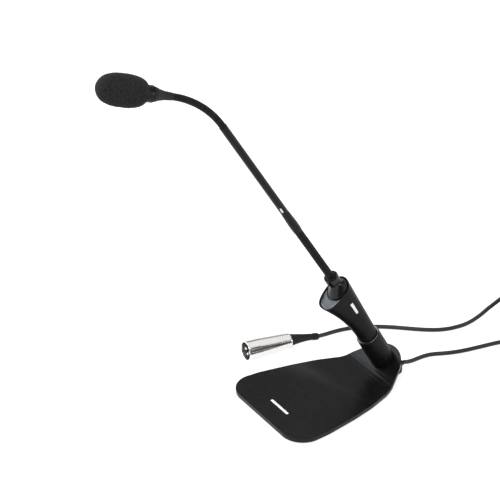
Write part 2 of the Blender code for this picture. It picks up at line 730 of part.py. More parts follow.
def make_head():
    """Boot, capsule holder, capsule, its grille and the foam windscreen."""
    half = JOINT_GAP / 2
    tail = UPPER_JOINTS[5] - UPPER_LENGTH + half
    profile = [
        (0, BOOT_LENGTH), (6.7, BOOT_LENGTH), (6.3, 17.0), (4.9, 12.5), (3.9, 7.5), (3.5, 2.0),
        (3.4, 0.0), (UPPER_R, 0.0), (UPPER_R, tail + UPPER_R * LINK_CHAMFER), (0.6, tail), (0, tail),
    ]
    turned("capsule_boot", profile, "rubber", head_axis, steps=32)

    low = BOOT_LENGTH + GAP
    high = low + HOLDER_LENGTH
    bore = CAPSULE_R + GAP
    profile = [
        (bore, high), (HOLDER_R - 0.5, high), (HOLDER_R, high - 0.6), (HOLDER_R, low + 1.2),
        (HOLDER_R - 0.5, low), (bore, low),
    ]
    turned("capsule_holder", profile, "neck_paint", head_axis, steps=36, closed=True)
    profile = [(0, CAPSULE_END), (CAPSULE_R, CAPSULE_END), (CAPSULE_R, low), (0, low)]
    turned("capsule", profile, "mesh_metal", head_axis, steps=32)
    grille = CAPSULE_END + GAP
    profile = [
        (0, grille + GRILLE_LENGTH), (3.6, grille + GRILLE_LENGTH - 0.5), (5.3, grille + 2.0),
        (CAPSULE_R, grille), (0, grille),
    ]
    turned("capsule_grille", profile, "mesh_metal", head_axis, steps=32)

    foot = high + GAP
    outer = []
    steps = 14
    for i in range(steps + 1):
        u = 1.0 - i / steps
        outer.append(foam_radius(u))
    cavity = CAPSULE_R + GAP
    deep = grille + GRILLE_LENGTH + GAP
    profile = [(r, foot + h) for r, h in outer]
    profile += [(cavity, foot), (cavity, grille), (5.6, grille + 2.1), (3.8, deep - 0.1), (0, deep)]
    turned("windscreen", profile, "foam", head_axis, steps=40)


def foam_radius(u):
    """Radius and height of the foam's outside, for u from its open end (0) to its tip (1)."""
    widest = 0.44
    if u < widest:
        t = 1 - u / widest
        radius = FOAM_MOUTH_R + (FOAM_R - FOAM_MOUTH_R) * sqrt(max(0.0, 1 - t ** 2.2))
        return radius, u * FOAM_LENGTH
    t = (u - widest) / (1 - widest)
    angle = t * pi / 2
    radius = FOAM_R * cos(angle) ** 0.87
    height = widest + (1 - widest) * sin(angle) ** 0.72
    return (radius if t < 1 else 0.0), height * FOAM_LENGTH


# ---------------------------------------------------------------- cable and plug

def make_cable():
    """The two uncoiled stretches of the cable and the outer shape of its coil."""
    spacing = 5 * CABLE_R
    from_base = smooth_route([CABLE_EXIT] + BASE_ROUTE, spacing)
    tube("cable_from_base", from_base, CABLE_R, "cable_pvc")
    tube("cable_to_plug", smooth_route(PLUG_ROUTE, spacing), CABLE_R, "cable_pvc")
    half = COIL_ROWS * CABLE_R
    inner = COIL_MEAN_R - half - 0.1
    outer = COIL_MEAN_R + half + 0.1
    top = 2 * half + 0.4
    profile = [
        (inner + 1.5, top), (outer - 1.5, top), (outer, top - 1.5), (outer, 1.5), (outer - 1.5, 0.0),
        (inner + 1.5, 0.0), (inner, 1.5), (inner, top - 1.5),
    ]
    turned("cable_coil", profile, "cable_pvc", None, (*COIL_CENTRE, 0.0), steps=40, closed=True)


def make_plug():
    """The three-pin plug: tapered shell, insert, pins and bent rubber boot."""
    profile = [
        (0, PLUG_LENGTH), (PLUG_REAR_R - 0.6, PLUG_LENGTH), (PLUG_REAR_R, PLUG_LENGTH - 0.8),
        (PLUG_R - 0.3, 20.0), (PLUG_R, PLUG_STRAIGHT), (PLUG_R, 0.4), (PLUG_R - 0.4, 0.0), (PLUG_BORE, 0.0),
        (PLUG_BORE, 19.0), (0, 19.0),
    ]
    turned("plug_shell", profile, "nickel", plug_axis, steps=40)
    profile = [
        (0, 18.7), (PLUG_BORE - GAP, 18.7), (PLUG_BORE - GAP, 13.0), (0, 13.0),
    ]
    insert = turned("plug_insert", profile, "insert_plastic", plug_axis, steps=32)
    places = [(-PIN_SPREAD, 0.0), (PIN_SPREAD, 0.0), (0.0, PIN_SPREAD)]
    for i, (x, y) in enumerate(places):
        name = f"plug_pin_{i + 1}"
        hole = rod(name + "_hole", PIN_R + 0.1, 10.0, 15.4, 16)
        cut(insert, cutter(name + "_hole", hole, plug_axis, (x, y, 0)))
        profile = [(0, 15.2), (PIN_R, 15.2), (PIN_R, 2.6), (PIN_R - 0.5, 1.8), (0, 1.8)]
        turned(name, profile, "nickel", plug_axis, (x, y, 0), steps=16)

    length = PLUG_LENGTH * cos(plug_sag)
    ahead = Vector((-sin(PLUG_YAW), cos(PLUG_YAW), -tan(plug_sag)))
    rear = Vector((*PLUG_FRONT, plug_height)) + ahead * (length + GAP)
    end = Vector(PLUG_ROUTE[0]) - (Vector(PLUG_ROUTE[1]) - Vector(PLUG_ROUTE[0])).normalized() * GAP
    route = [rear, rear + ahead * 4.0, rear.lerp(end, 0.55) + Vector((0, 0, 0.35)), end]
    points = smooth_route(route, 2.6)
    last = len(points) - 1
    radii = [BOOT_WIDE + (BOOT_NARROW - BOOT_WIDE) * sin(pi / 2 * i / last) ** 0.9 for i in range(last + 1)]
    tube("plug_boot", points, BOOT_WIDE, "rubber", 4, radii)


make_base()
make_cable_housing()
make_gland()
make_stem()
make_housing()
make_cone()
make_button()
make_lower_neck()
make_upper_neck()
make_head()
make_cable()
make_plug()
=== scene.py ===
"""Studio scene of a gooseneck desk microphone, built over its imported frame.

Lengths are in millimetres, turned to metres by MM. +X is the right seen from the talker's side, -Y
points to the talker, and the origin is on the desk under the stem. Places and sizes come from the CAD
nodes; the leans, the joints' spacing and the cable's route are the part's own values.
"""
import json
from math import atan, cos, pi, radians, sin, sqrt, tan

import bmesh
import bpy
from mathutils import Matrix, Vector, noise


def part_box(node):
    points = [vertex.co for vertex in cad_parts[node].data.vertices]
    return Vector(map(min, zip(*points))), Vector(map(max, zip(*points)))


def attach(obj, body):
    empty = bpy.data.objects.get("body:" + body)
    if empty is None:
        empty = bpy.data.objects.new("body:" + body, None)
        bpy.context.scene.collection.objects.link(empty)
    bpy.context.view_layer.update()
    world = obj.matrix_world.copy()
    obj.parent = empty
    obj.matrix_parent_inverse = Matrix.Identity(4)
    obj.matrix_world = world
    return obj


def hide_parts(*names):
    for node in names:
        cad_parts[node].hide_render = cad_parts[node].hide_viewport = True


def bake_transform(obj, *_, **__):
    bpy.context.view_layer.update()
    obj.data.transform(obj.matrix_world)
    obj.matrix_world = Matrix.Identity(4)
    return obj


MM = 0.001
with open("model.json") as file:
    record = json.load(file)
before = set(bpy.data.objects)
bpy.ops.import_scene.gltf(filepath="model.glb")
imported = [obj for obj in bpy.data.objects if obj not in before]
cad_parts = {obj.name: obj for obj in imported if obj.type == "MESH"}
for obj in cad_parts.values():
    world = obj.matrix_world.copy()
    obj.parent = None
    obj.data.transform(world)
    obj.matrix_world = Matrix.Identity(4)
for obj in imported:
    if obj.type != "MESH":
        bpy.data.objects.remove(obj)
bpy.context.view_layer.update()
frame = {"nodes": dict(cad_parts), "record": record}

# camera
CAMERA_AZIMUTH = radians(57.1127)
CAMERA_ELEVATION = radians(31.2655)
CAMERA_DISTANCE = 2.2
CAMERA_RIGHT = -0.125394        # the target's offset from the origin, across and up the picture
CAMERA_UP = 0.114798
CAMERA_LENS = 168.7

# the part's own leans and spacings
STEM_LEAN = radians(29.0)
STEM_FOOT_Y = 7.5
LIP_H = 128.4
LIP_TILT = atan(0.26)
LIP_FRONT = 22.6
LIP_REAR = 11.2
LIP_HALF = 12.2
LIP_FULLNESS = 2.8
FRONT_POWER = 1.9
FLARE_START = 60.0
HOUSING_R = 9.5
WALL = 0.9
FOOT_R = 10.5                   # the cone's foot, a little forward of the stem's axis
FOOT_SHIFT = 0.9
NECK_LEAN = radians(31.4)
LOWER_LENGTH = 69.6
TUBE_TOP = 217.9
UPPER_LENGTH = 65.4
UPPER_R = 3.15
LINK = 11.5                     # from one flex joint to the next
LOWER_FIRST = 6.0
UPPER_FIRST = 4.0
HEAD_LEAN = radians(67.9)
BEND_Y = -25.7
BEND_R = 22.0
RAMP = radians(29.4)
PLATE_T = 4.4
PLUG_FRONT = (-87.6, -97.7)     # the middle of the plug's open face
PLUG_YAW = radians(-5.2)
PLUG_R = 9.5
PLUG_REAR_R = 7.4
PLUG_LENGTH = 47.0
PLUG_STRAIGHT = 14.0            # the shell keeps its full width this far back
PLUG_BORE = 8.6
PLUG_DEPTH = 19.0
PIN_CIRCLE = 3.8

# the cable's route, in the part's own points
CABLE_R = 2.0
CABLE_EXIT = (2.0, 20.6, 4.7)
COIL_CENTRE = (0.0, 188.0)
COIL_MEAN_R = 23.5
COIL_PITCH = 2 * CABLE_R + 0.06
COIL_FIRST = 2.42               # centre of the lowest layer
COIL_LAYER = COIL_PITCH - 0.02
COIL_TURNS = 14.5
BASE_ROUTE = [
    (2.0, 22.4, 4.6), (1.7, 26.2, 3.3), (1.2, 32.5, 2.2), (1.0, 38.7, 2.1), (1.1, 45.7, 2.1),
    (2.0, 52.0, 2.1), (4.0, 57.6, 2.1), (6.8, 63.4, 2.1), (10.4, 72.0, 2.1), (14.0, 84.0, 2.1),
    (17.0, 99.0, 2.1), (20.5, 118.0, 2.1), (25.0, 136.0, 2.1), (28.6, 152.0, 2.1), (29.5, 171.5, 2.3),
]
PLUG_ROUTE = [
    (-79.8, -20.4, 3.7), (-80.0, -11.2, 2.6), (-80.0, -2.2, 2.1), (-77.8, 10.6, 2.1), (-73.4, 22.6, 2.1),
    (-68.2, 32.6, 2.1), (-62.2, 42.0, 2.1), (-55.2, 51.0, 2.1), (-47.4, 59.9, 2.1), (-39.7, 68.6, 2.1),
    (-32.6, 77.7, 2.1), (-26.4, 88.5, 2.1), (-22.8, 101.0, 2.1), (-21.6, 115.0, 2.5), (-23.2, 130.0, 4.4),
    (-26.6, 146.0, 7.4), (-29.5, 171.5, 12.9),
]


# ---------------------------------------------------------------- materials

LOOKS = {}


def look(make):
    """Register the function that makes a slot's material, by its own name."""
    LOOKS[make.__name__] = make
    return make


def material(slot):
    """The material of a slot, made once."""
    return bpy.data.materials.get("look_" + slot) or LOOKS[slot]()


def shader_of(name, **sockets):
    """A Principled material with values on the shader's own sockets, and its node tree."""
    made = bpy.data.materials.new("look_" + name)
    made.use_nodes = True
    tree = made.node_tree
    shader = tree.nodes["Principled BSDF"]
    for socket, value in sockets.items():
        shader.inputs[socket.replace("_", " ")].default_value = value
    return made, tree, shader


def object_coordinates(tree, stretch=(1, 1, 1), rotation=(0, 0, 0)):
    """Object coordinates in metres, stretched and turned."""
    source = tree.nodes.new("ShaderNodeTexCoord")
    mapping = tree.nodes.new("ShaderNodeMapping")
    mapping.inputs["Scale"].default_value = stretch
    mapping.inputs["Rotation"].default_value = rotation
    tree.links.new(source.outputs["Object"], mapping.inputs["Vector"])
    return mapping.outputs["Vector"]


def noise_of(tree, vector, size, detail=3.0, rough=0.55):
    """Noise whose lumps are about a size across, in millimetres."""
    node = tree.nodes.new("ShaderNodeTexNoise")
    node.inputs["Scale"].default_value = 1 / (size * MM)
    node.inputs["Detail"].default_value = detail
    node.inputs["Roughness"].default_value = rough
    tree.links.new(vector, node.inputs["Vector"])
    return node.outputs["Fac"]


def spread(tree, factor, low, high, start=0.3, end=0.7):
    """A factor mapped to a range of values."""
    node = tree.nodes.new("ShaderNodeMapRange")
    node.inputs["From Min"].default_value = start
    node.inputs["From Max"].default_value = end
    node.inputs["To Min"].default_value = low
    node.inputs["To Max"].default_value = high
    tree.links.new(factor, node.inputs["Value"])
    return node.outputs["Result"]


def tinted(tree, factor, dark, light, start=0.3, end=0.7):
    """A factor turned to a colour between two colours."""
    ramp = tree.nodes.new("ShaderNodeValToRGB")
    ramp.color_ramp.elements[0].position = start
    ramp.color_ramp.elements[0].color = (*dark, 1)
    ramp.color_ramp.elements[1].position = end
    ramp.color_ramp.elements[1].color = (*light, 1)
    tree.links.new(factor, ramp.inputs["Fac"])
    return ramp.outputs["Color"]


def bumped(tree, shader, height, distance):
    """Drive the shader's normal with a height whose full rise is a distance in millimetres."""
    bump = tree.nodes.new("ShaderNodeBump")
    bump.inputs["Strength"].default_value = 1.0
    bump.inputs["Distance"].default_value = distance * MM
    tree.links.new(height, bump.inputs["Height"])
    tree.links.new(bump.outputs["Normal"], shader.inputs["Normal"])


def surface(slot, dark, light, rough, grain, depth, mottle=9.0, **sockets):
    """A moulded, painted or plated surface: mottled colour and roughness, and a fine grain."""
    made, tree, shader = shader_of(slot, **sockets)
    vector = object_coordinates(tree)
    broad = noise_of(tree, vector, mottle)
    tree.links.new(tinted(tree, broad, dark, light), shader.inputs["Base Color"])
    tree.links.new(spread(tree, broad, *rough), shader.inputs["Roughness"])
    bumped(tree, shader, noise_of(tree, vector, grain, 2.0), depth)
    return made


def grey(value):
    """A neutral colour."""
    return (value, value, value)


@look
def plate_paint():
    return surface("plate_paint", grey(0.0036), grey(0.0050), (0.26, 0.31), 0.45, 0.006,
                   Specular_IOR_Level=0.2)


@look
def stem_paint():
    return surface("stem_paint", grey(0.004), grey(0.007), (0.32, 0.42), 0.3, 0.004,
                   Specular_IOR_Level=0.08)


@look
def housing_plastic():
    return surface("housing_plastic", grey(0.004), grey(0.007), (0.36, 0.46), 0.35, 0.008,
                   Specular_IOR_Level=0.08)


@look
def button_plastic():
    """Smoked plastic whose colour holds a painted reflection: dark beside the cone and paler towards its
    front rim.
    """
    made, tree, shader = shader_of("button_plastic", Specular_IOR_Level=0.22)
    source = tree.nodes.new("ShaderNodeTexCoord")
    along = tree.nodes.new("ShaderNodeVectorMath")
    along.operation = "DOT_PRODUCT"
    along.inputs[1].default_value = LIP.to_3x3() @ Vector((0, -1, 0))
    tree.links.new(source.outputs["Object"], along.inputs[0])
    # painted reflection: the base colour runs from dark at the cone to pale at the front rim, as a
    # reflection on the dished face would
    near = (LIP.to_3x3() @ Vector((0, -1, 0))).dot(LIP.translation) + 9.0 * MM
    fade = spread(tree, along.outputs["Value"], 0.0, 1.0, near, near + 13.0 * MM)
    tint = tinted(tree, fade, (0.004, 0.005, 0.007), (0.036, 0.042, 0.050), 0.0, 1.0)
    tree.links.new(tint, shader.inputs["Base Color"])
    vector = object_coordinates(tree)
    tree.links.new(spread(tree, noise_of(tree, vector, 5.0), 0.18, 0.26), shader.inputs["Roughness"])
    bumped(tree, shader, noise_of(tree, vector, 0.5), 0.003)
    return made


@look
def cone_plastic():
    return surface("cone_plastic", grey(0.004), grey(0.006), (0.14, 0.20), 0.6, 0.001,
                   Specular_IOR_Level=0.28)


@look
def rubber():
    return surface("rubber", grey(0.007), grey(0.011), (0.5, 0.65), 0.25, 0.012,
                   Specular_IOR_Level=0.2)


@look
def neck_paint():
    return surface("neck_paint", grey(0.004), grey(0.007), (0.26, 0.36), 0.25, 0.004,
                   Specular_IOR_Level=0.14)


@look
def cable_pvc():
    return surface("cable_pvc", grey(0.012), grey(0.018), (0.42, 0.55), 0.4, 0.01,
                   Specular_IOR_Level=0.35)


@look
def insert_plastic():
    return surface("insert_plastic", grey(0.008), grey(0.014), (0.4, 0.5), 0.3, 0.008,
                   Specular_IOR_Level=0.35)


@look
def pale_ring():
    return surface("pale_ring", grey(0.12), grey(0.16), (0.22, 0.32), 0.3, 0.002, Metallic=0.9)


@look
def steel():
    return surface("steel", grey(0.50), grey(0.60), (0.28, 0.4), 0.2, 0.003, Metallic=1.0)


@look
def black_steel():
    """Chemically blackened steel for the small set screw."""
    return surface("black_steel", grey(0.010), grey(0.016), (0.35, 0.45), 0.2, 0.003,
                   Specular_IOR_Level=0.3)


@look
def print_white():
    """Pale printing ink, a little uneven."""
    return surface("print_white", grey(0.72), grey(0.80), (0.45, 0.6), 0.3, 0.004, 2.0)


@look
def nickel():
    """Satin nickel plate with fine turned lines round the shell."""
    made, tree, shader = shader_of("nickel", Metallic=1.0)
    vector = object_coordinates(tree, (1, 1, 1), (0, 0, PLUG_YAW))
    broad = noise_of(tree, vector, 6.0)
    tree.links.new(tinted(tree, broad, (0.77, 0.76, 0.74), (0.81, 0.80, 0.78)),
                   shader.inputs["Base Color"])
    lines = noise_of(tree, object_coordinates(tree, (0.05, 1, 0.05), (0, 0, -PLUG_YAW)), 0.12, 2.0)
    tree.links.new(spread(tree, lines, 0.17, 0.23), shader.inputs["Roughness"])
    bumped(tree, shader, lines, 0.0004)
    return made


@look
def board():
    """Solder-masked fibreglass with faint tracks."""
    made, tree, shader = shader_of("board", Roughness=0.4)
    vector = object_coordinates(tree)
    cells = tree.nodes.new("ShaderNodeTexVoronoi")
    cells.distance = "CHEBYCHEV"
    cells.inputs["Scale"].default_value = 1 / (3.0 * MM)
    tree.links.new(vector, cells.inputs["Vector"])
    tree.links.new(tinted(tree, cells.outputs["Distance"], (0.012, 0.07, 0.03), (0.03, 0.14, 0.07)),
                   shader.inputs["Base Color"])
    bumped(tree, shader, cells.outputs["Distance"], 0.03)
    return made


@look
def mesh_metal():
    """Dark woven wire: two crossed sets of rounded wires as a height, and a colour darkened between the
    wires as painted shade.
    """
    made, tree, shader = shader_of("mesh_metal", Metallic=0.8, Roughness=0.38)
    vector = object_coordinates(tree, (1, 1, 1), (-HEAD_LEAN, 0, 0))
    heights = []
    for axis in ("X", "Y"):
        wave = tree.nodes.new("ShaderNodeTexWave")
        wave.bands_direction = axis
        wave.inputs["Scale"].default_value = 0.32 / MM
        tree.links.new(vector, wave.inputs["Vector"])
        heights.append(wave.outputs["Fac"])
    most = tree.nodes.new("ShaderNodeMath")
    most.operation = "MAXIMUM"
    tree.links.new(heights[0], most.inputs[0])
    tree.links.new(heights[1], most.inputs[1])
    # painted shade: the colour drops to near black in the low gaps between the wires
    tree.links.new(tinted(tree, most.outputs["Value"], grey(0.006), grey(0.10), 0.4, 0.8),
                   shader.inputs["Base Color"])
    bumped(tree, shader, most.outputs["Value"], 0.12)
    return made


@look
def foam():
    """Open-cell foam: cells darker than a slightly lighter web, a painted shade that follows the hollows of
    the bump, with a soft sheen at the rim.
    """
    made, tree, shader = shader_of("foam", Roughness=0.95, Specular_IOR_Level=0.1,
                                   Sheen_Weight=0.03, Sheen_Roughness=0.4)
    vector = object_coordinates(tree)
    cells = tree.nodes.new("ShaderNodeTexVoronoi")
    cells.inputs["Scale"].default_value = 1 / (0.75 * MM)
    tree.links.new(vector, cells.inputs["Vector"])
    lumps = noise_of(tree, vector, 1.8, 4.0, 0.65)
    mix = tree.nodes.new("ShaderNodeMath")
    mix.operation = "MULTIPLY_ADD"
    mix.inputs[1].default_value = 0.6
    tree.links.new(cells.outputs["Distance"], mix.inputs[0])
    tree.links.new(lumps, mix.inputs[2])
    # painted shade: the same value sets the bump, so the colour darkens in its hollows
    tree.links.new(tinted(tree, mix.outputs["Value"], grey(0.005), grey(0.020), 0.55, 0.95),
                   shader.inputs["Base Color"])
    bumped(tree, shader, mix.outputs["Value"], 0.35)
    return made


# ---------------------------------------------------------------- building

def frame_at(origin, lean):
    """A place whose axis starts at a point in metres and leans towards the talker."""
    return Matrix.Translation(origin) @ Matrix.Rotation(lean, 4, "X")


def span(node, place):
    """A CAD node's lowest and highest height along a place's axis, and its largest radius, in mm."""
    inverse = place.inverted()
    points = [inverse @ v.co for v in frame["nodes"][node].data.vertices]
    heights = [p.z / MM for p in points]
    return min(heights), max(heights), max(p.xy.length for p in points) / MM


def piece(name, bm, place, slot, body, replaced=(), sharp=40.0):
    """Turn a bmesh built in a place into a finished piece that rides on a body."""
    bmesh.ops.recalc_face_normals(bm, faces=bm.faces)
    mesh = bpy.data.meshes.new(name)
    bm.to_mesh(mesh)
    bm.free()
    mesh.transform(place)
    mesh.shade_smooth()
    mesh.set_sharp_from_angle(angle=radians(sharp))
    mesh.materials.append(material(slot))
    obj = bpy.data.objects.new(name, mesh)
    bpy.context.scene.collection.objects.link(obj)
    if replaced:
        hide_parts(*replaced)
    if body:
        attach(obj, body)
    return obj


def filleted(corners, closed, steps=5):
    """Corners (a, b) or (a, b, radius) of an outline, each radius turned to an arc."""
    points = []
    count = len(corners)
    for i, corner in enumerate(corners):
        here = Vector(corner[:2])
        radius = corner[2] if len(corner) > 2 else 0.0
        inner = closed or 0 < i < count - 1
        if radius <= 0 or not inner:
            points.append(here)
            continue
        before = (Vector(corners[i - 1][:2]) - here).normalized()
        after = (Vector(corners[(i + 1) % count][:2]) - here).normalized()
        half = before.angle(after) / 2
        centre = here + (before + after).normalized() * radius / sin(half)
        start = here + before * radius / tan(half) - centre
        end = here + after * radius / tan(half) - centre
        turn = start.angle_signed(end)
        for k in range(steps + 1):
            arm = start.copy()
            arm.rotate(Matrix.Rotation(-turn * k / steps, 2))
            points.append(centre + arm)
    return points


def spun(corners, closed, steps):
    """A bmesh turned about Z from corners (radius, height, rounding)."""
    bm = bmesh.new()
    verts = [bm.verts.new((p[0] * MM, 0, p[1] * MM)) for p in filleted(corners, closed)]
    pairs = list(zip(verts, verts[1:])) + ([(verts[-1], verts[0])] if closed else [])
    edges = [bm.edges.new(pair) for pair in pairs]
    bmesh.ops.spin(bm, geom=verts + edges, cent=(0, 0, 0), axis=(0, 0, 1), angle=2 * pi, steps=steps,
                   use_merge=True)
    bmesh.ops.remove_doubles(bm, verts=bm.verts, dist=0.000001)
    return bm


def turned(name, corners, place, slot, body, replaced=(), steps=64, closed=False):
    """A piece turned about a place's axis from corners (radius, height, rounding)."""
    return piece(name, spun(corners, closed, steps), place, slot, body, replaced)


def sewn(bm, first, second):
    """Join two rings of vertices by quads."""
    for i in range(len(first)):
        j = (i + 1) % len(first)
        bm.faces.new((first[i], first[j], second[j], second[i]))


def border_of(sheet):
    """The vertices round a sheet of rows, in order."""
    border = [row[0] for row in sheet] + sheet[-1][1:]
    border += [row[-1] for row in reversed(sheet[:-1])]
    return border + list(reversed(sheet[0][1:-1]))


def lofted(bm, rings, caps=True):
    """Join rings of points, in metres, by quads, and cap the two ends."""
    made = [[bm.verts.new(p) for p in ring] for ring in rings]
    for low, high in zip(made, made[1:]):
        sewn(bm, low, high)
    if caps:
        bm.faces.new(list(reversed(made[0])))
        bm.faces.new(made[-1])


def prism(bm, outline, low, high):
    """Extrude a flat outline in millimetres between two heights."""
    lofted(bm, [[(p[0] * MM, p[1] * MM, height * MM) for p in outline] for height in (low, high)])


def rim_edges(bm, height):
    """The edges that lie at a height, in millimetres."""
    return [e for e in bm.edges if all(abs(v.co.z - height * MM) < 1e-6 for v in e.verts)]


# ---------------------------------------------------------------- places

STEM = frame_at((0, STEM_FOOT_Y * MM, 0), STEM_LEAN)
LIP = STEM @ Matrix.Translation((0, 0, LIP_H * MM)) @ Matrix.Rotation(LIP_TILT, 4, "X")
COLLAR_TOP = span("neck_cone", STEM)[1]
NECK = frame_at(STEM @ Vector((0, 0, COLLAR_TOP * MM)), NECK_LEAN)
ARC_R = UPPER_LENGTH / (HEAD_LEAN - NECK_LEAN)


def lower_line(length):
    """Place on the lower flex at a length from the collar."""
    return NECK @ Matrix.Translation((0, 0, length * MM))


def upper_arc(length):
    """Place on the upper flex at a length along its arc."""
    lean = NECK_LEAN + length / ARC_R
    start = NECK @ Vector((0, 0, TUBE_TOP * MM))
    y = -ARC_R * (cos(NECK_LEAN) - cos(lean))
    z = ARC_R * (sin(lean) - sin(NECK_LEAN))
    return frame_at(start + Vector((0, y, z)) * MM, lean)


HEAD = upper_arc(UPPER_LENGTH)


# ---------------------------------------------------------------- camera and cords

def make_camera():
    """A long lens that looks down over the talker's right side."""
    a = CAMERA_AZIMUTH
    e = CAMERA_ELEVATION
    back = Vector((sin(a) * cos(e), -cos(a) * cos(e), sin(e)))
    right = Vector((cos(a), sin(a), 0))
    up = back.cross(right)
    camera = bpy.data.objects.new("camera", bpy.data.cameras.new("camera"))
    camera.data.lens = CAMERA_LENS
    camera.data.clip_start = 0.05
    camera.data.clip_end = 50
    camera.rotation_mode = "QUATERNION"
    camera.rotation_quaternion = (-back).to_track_quat("-Z", "Y")
    camera.location = right * CAMERA_RIGHT + up * CAMERA_UP + back * CAMERA_DISTANCE
    bpy.context.scene.collection.objects.link(camera)
    bpy.context.scene.camera = camera


def coil_points(per_turn=16):
    """Centreline of the coil: four layers of four turns, wound in, up, out, up and so on."""
    rows = [COIL_MEAN_R + COIL_PITCH * (k - 1.5) for k in range(4)]
    layers = [COIL_FIRST + COIL_LAYER * k for k in range(4)]
    # each move: (start in turns, end in turns, row after, layer after)
    moves = [(0.75, 1.0, 2, 0), (1.75, 2.0, 1, 0), (2.75, 3.0, 0, 0), (3.5, 3.75, 0, 1)]
    moves += [(4.25, 4.5, 1, 1), (5.25, 5.5, 2, 1), (6.25, 6.5, 3, 1), (7.0, 7.25, 3, 2)]
    moves += [(7.75, 8.0, 2, 2), (8.75, 9.0, 1, 2), (9.75, 10.0, 0, 2), (10.5, 10.75, 0, 3)]
    moves += [(11.25, 11.5, 1, 3), (12.25, 12.5, 2, 3), (13.25, 13.5, 3, 3)]
    points = []
    for i in range(int(COIL_TURNS * per_turn) + 1):
        turn = i / per_turn
        radius, height = rows[3], layers[0]
        for start, stop, row, layer in moves:
            t = min(1.0, max(0.0, (turn - start) / (stop - start)))
            ease = t * t * (3 - 2 * t)
            radius += (rows[row] - radius) * ease
            height += (layers[layer] - height) * ease
        angle = 2 * pi * turn
        points.append((COIL_CENTRE[0] + radius * cos(angle), COIL_CENTRE[1] + radius * sin(angle), height))
    return points


def make_cable(pieces):
    """The microphone's cable: out of the base, through its stored coil, and to the plug."""
    route = [CABLE_EXIT] + BASE_ROUTE + coil_points() + list(reversed(PLUG_ROUTE))
    curve = bpy.data.curves.new("cable", "CURVE")
    curve.dimensions = "3D"
    curve.bevel_depth = CABLE_R * MM
    curve.bevel_resolution = 5
    curve.resolution_u = 6
    curve.use_fill_caps = True
    spline = curve.splines.new("BEZIER")
    spline.bezier_points.add(len(route) - 1)
    for point, place in zip(spline.bezier_points, route):
        point.co = Vector(place) * MM
        point.handle_left_type = "AUTO"
        point.handle_right_type = "AUTO"
    curve.materials.append(material("cable_pvc"))
    cable = bpy.data.objects.new("cable", curve)
    bpy.context.scene.collection.objects.link(cable)
    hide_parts("cable_from_base", "cable_coil", "cable_to_plug")
    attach(cable, "root")


def make_tie():
    """A hook-and-loop band round the coil's bundle, with its loose end lapped over."""
    inner = 2 * CABLE_R * 2 + 0.35
    middle = COIL_FIRST + 1.5 * COIL_LAYER
    half_width = 4.0
    bm = bmesh.new()
    outline = filleted([(-inner, -inner, 2.2), (inner, -inner, 2.2), (inner, inner, 2.2),
                        (-inner, inner, 2.2)], True)
    outer = filleted([(-inner - 0.3, -inner - 0.1, 2.4), (inner + 0.7, -inner - 0.1, 2.4),
                      (inner + 0.7, inner + 0.8, 2.4), (-inner - 0.3, inner + 0.8, 2.4)], True)
    rings = []
    for points, half in (
            (outline, -half_width), (outer, -half_width), (outer, half_width), (outline, half_width)):
        rings.append([bm.verts.new((p[0] * MM, half * MM, p[1] * MM)) for p in points])
    for low, high in zip(rings, rings[1:] + rings[:1]):
        sewn(bm, low, high)
    angle = radians(75.0)
    centre = (COIL_CENTRE[0] + COIL_MEAN_R * cos(angle), COIL_CENTRE[1] + COIL_MEAN_R * sin(angle), middle)
    place = Matrix.Translation(Vector(centre) * MM) @ Matrix.Rotation(angle, 4, "Z")
    return piece("coil_tie", bm, place, "rubber", "root")


# ---------------------------------------------------------------- base

def ramp_rise(y):
    """Height that the upswept rear adds at a distance y."""
    along = y - BEND_Y
    bend = BEND_R * sin(RAMP)
    if along <= 0:
        return 0.0
    if along < bend:
        return BEND_R - sqrt(BEND_R ** 2 - along ** 2)
    return BEND_R * (1 - cos(RAMP)) + (along - bend) * tan(RAMP)


def make_plate():
    """The cast plate, with finely rounded edges and a smooth sweep up to the nose."""
    low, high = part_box("base_plate")
    under = low.z / MM
    top = under + PLATE_T
    side = [(59.6, low.y / MM, 22.0), (56.4, -100.0, 60.0), (50.3, -68.0, 60.0), (44.5, -45.0, 60.0),
            (33.0, -13.7, 25.0)]
    nose = (0.0, 37.8, 29.4)
    strip = 0.6
    mirrored = [(-x, y, radius) for x, y, radius in reversed(side)]
    outline = filleted(side + [nose] + mirrored, True, 20)
    bm = bmesh.new()
    prism(bm, outline, under, top)
    bmesh.ops.bevel(bm, geom=rim_edges(bm, top), offset=1.3 * MM, segments=6, affect="EDGES", profile=0.5)
    bmesh.ops.bevel(bm, geom=rim_edges(bm, under), offset=0.6 * MM, segments=2, affect="EDGES")
    for height in (top, under):
        flat = [f for f in bm.faces if all(abs(v.co.z - height * MM) < 1e-6 for v in f.verts)]
        bmesh.ops.inset_region(bm, faces=flat, thickness=0.25 * MM)
    y = BEND_Y - 1.2
    while y < BEND_Y + BEND_R * sin(RAMP) + 1.8:
        geometry = list(bm.verts) + list(bm.edges) + list(bm.faces)
        bmesh.ops.bisect_plane(bm, geom=geometry, plane_co=(0, y * MM, 0), plane_no=(0, 1, 0))
        y += strip
    for v in bm.verts:
        v.co.z += ramp_rise(v.co.y / MM) * MM
    return piece("plate", bm, Matrix.Identity(4), "plate_paint", "root", ["base_plate"], 30.0)


# ---------------------------------------------------------------- preamp housing

